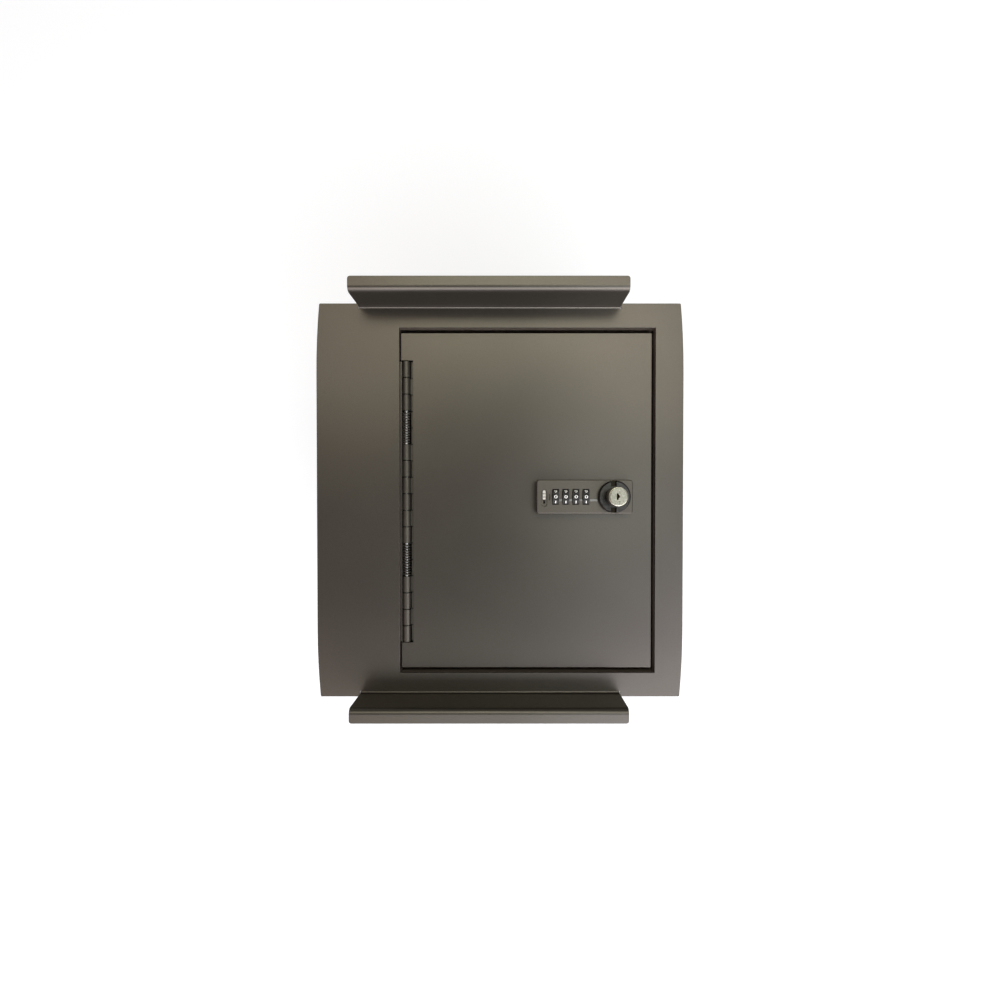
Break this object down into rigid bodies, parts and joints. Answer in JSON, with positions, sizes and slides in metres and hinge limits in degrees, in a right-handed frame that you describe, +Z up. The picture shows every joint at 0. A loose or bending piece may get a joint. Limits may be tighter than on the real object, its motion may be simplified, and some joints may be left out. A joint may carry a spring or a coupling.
{
  "type": "console safe",
  "caption": "Steel lockbox hung by two flanges inside a vehicle console, with a recessed spring-hinged lid and a combination lock with a key override.",
  "frame": {"origin": "on the underside of the box, below the middle of the top plate", "axes": "+Z up through the lid; the hinge runs along Y on the -X side; +Y towards the rear hanger"},
  "size_m": [0.28, 0.3162, 0.2084],
  "materials": {
    "powder_coat": "satin",
    "foam_pad": "matte",
    "black_rubber": "matte",
    "hinge_coat": "satin",
    "zinc_steel": "satin",
    "spring_steel": "satin",
    "lock_case": "satin",
    "white_plastic": "satin",
    "dark_nickel": "polished",
    "nickel_brass": "satin",
    "bare_brass": "satin",
    "dial_black": "gloss"
  },
  "bodies": {
    "safe_body": {"top_plate": "powder_coat", "box_shell": "powder_coat", "box_end_front": "powder_coat", "box_end_rear": "powder_coat", "floor_pad": "foam_pad", "door_stop_front": "powder_coat", "door_stop_rear": "powder_coat", "strike_angle": "powder_coat", "door_bumpers": "black_rubber", "hinge_packing_strip": "powder_coat", "hinge_frame_leaf": "hinge_coat", "hinge_pin": "zinc_steel", "hinge_spring_rear": "spring_steel", "hinge_spring_front": "spring_steel"},
    "door": {"hinge_door_leaf": "hinge_coat", "door_panel": "powder_coat", "door_stiffeners": "powder_coat", "lock_housing": "lock_case", "lock_back_plate": "zinc_steel", "back_plate_screws": "zinc_steel", "dial_axle": "zinc_steel", "detent_spring_plate": "spring_steel", "lock_nut": "zinc_steel", "lock_fixing_screw": "zinc_steel"},
    "knob_assembly": {"knob": "dark_nickel", "lock_spindle": "zinc_steel", "cam": "zinc_steel", "cam_washer": "zinc_steel", "cam_nut": "zinc_steel"},
    "key_cylinder": {"key_plug": "nickel_brass", "key_wafers": "bare_brass"},
    "dial_wheel_1": {"dial_1": "dial_black"},
    "dial_wheel_2": {"dial_2": "dial_black"},
    "dial_wheel_3": {"dial_3": "dial_black"},
    "dial_wheel_4": {"dial_4": "dial_black"},
    "code_button": {"code_slider": "lock_case", "slider_cap": "white_plastic"},
    "fence": {"fence_bar": "zinc_steel"}
  },
  "joints": [
    {"name": "door_hinge", "type": "hinge", "parent": "safe_body", "child": "door", "pos_m": [-0.07204, 0, 0.1661], "axis": [0, -1, 0], "range_deg": [0, 110], "stiffness_Nm_per_rad": 0.25, "springref_deg": 110.01},
    {"name": "knob_turn", "type": "hinge", "parent": "door", "child": "knob_assembly", "pos_m": [0.0855, 0.0031, 0.17992], "axis": [0, 0, 1], "range_deg": [-90, 0]},
    {"name": "key_turn", "type": "hinge", "parent": "knob_assembly", "child": "key_cylinder", "pos_m": [0.0855, 0.0031, 0.19877], "axis": [0, 0, 1], "range_deg": [-90, 0]},
    {"name": "dial_1_turn", "type": "hinge", "parent": "door", "child": "dial_wheel_1", "pos_m": [0.04175, 0.0031, 0.17562], "axis": [1, 0, 0], "continuous": true},
    {"name": "dial_2_turn", "type": "hinge", "parent": "door", "child": "dial_wheel_2", "pos_m": [0.04935, 0.0031, 0.17562], "axis": [1, 0, 0], "continuous": true},
    {"name": "dial_3_turn", "type": "hinge", "parent": "door", "child": "dial_wheel_3", "pos_m": [0.05695, 0.0031, 0.17562], "axis": [1, 0, 0], "continuous": true},
    {"name": "dial_4_turn", "type": "hinge", "parent": "door", "child": "dial_wheel_4", "pos_m": [0.06455, 0.0031, 0.17562], "axis": [1, 0, 0], "continuous": true},
    {"name": "code_slide", "type": "slide", "parent": "door", "child": "code_button", "axis": [0, 1, 0], "range_m": [-0.0048, 0]},
    {"name": "fence_slide", "type": "slide", "parent": "door", "child": "fence", "axis": [0, 1, 0], "range_m": [0, 0.0008]}
  ],
  "couplings": [
    {"joint": "fence_slide", "follows": "knob_turn", "m_per_rad": -0.0005}
  ]
}
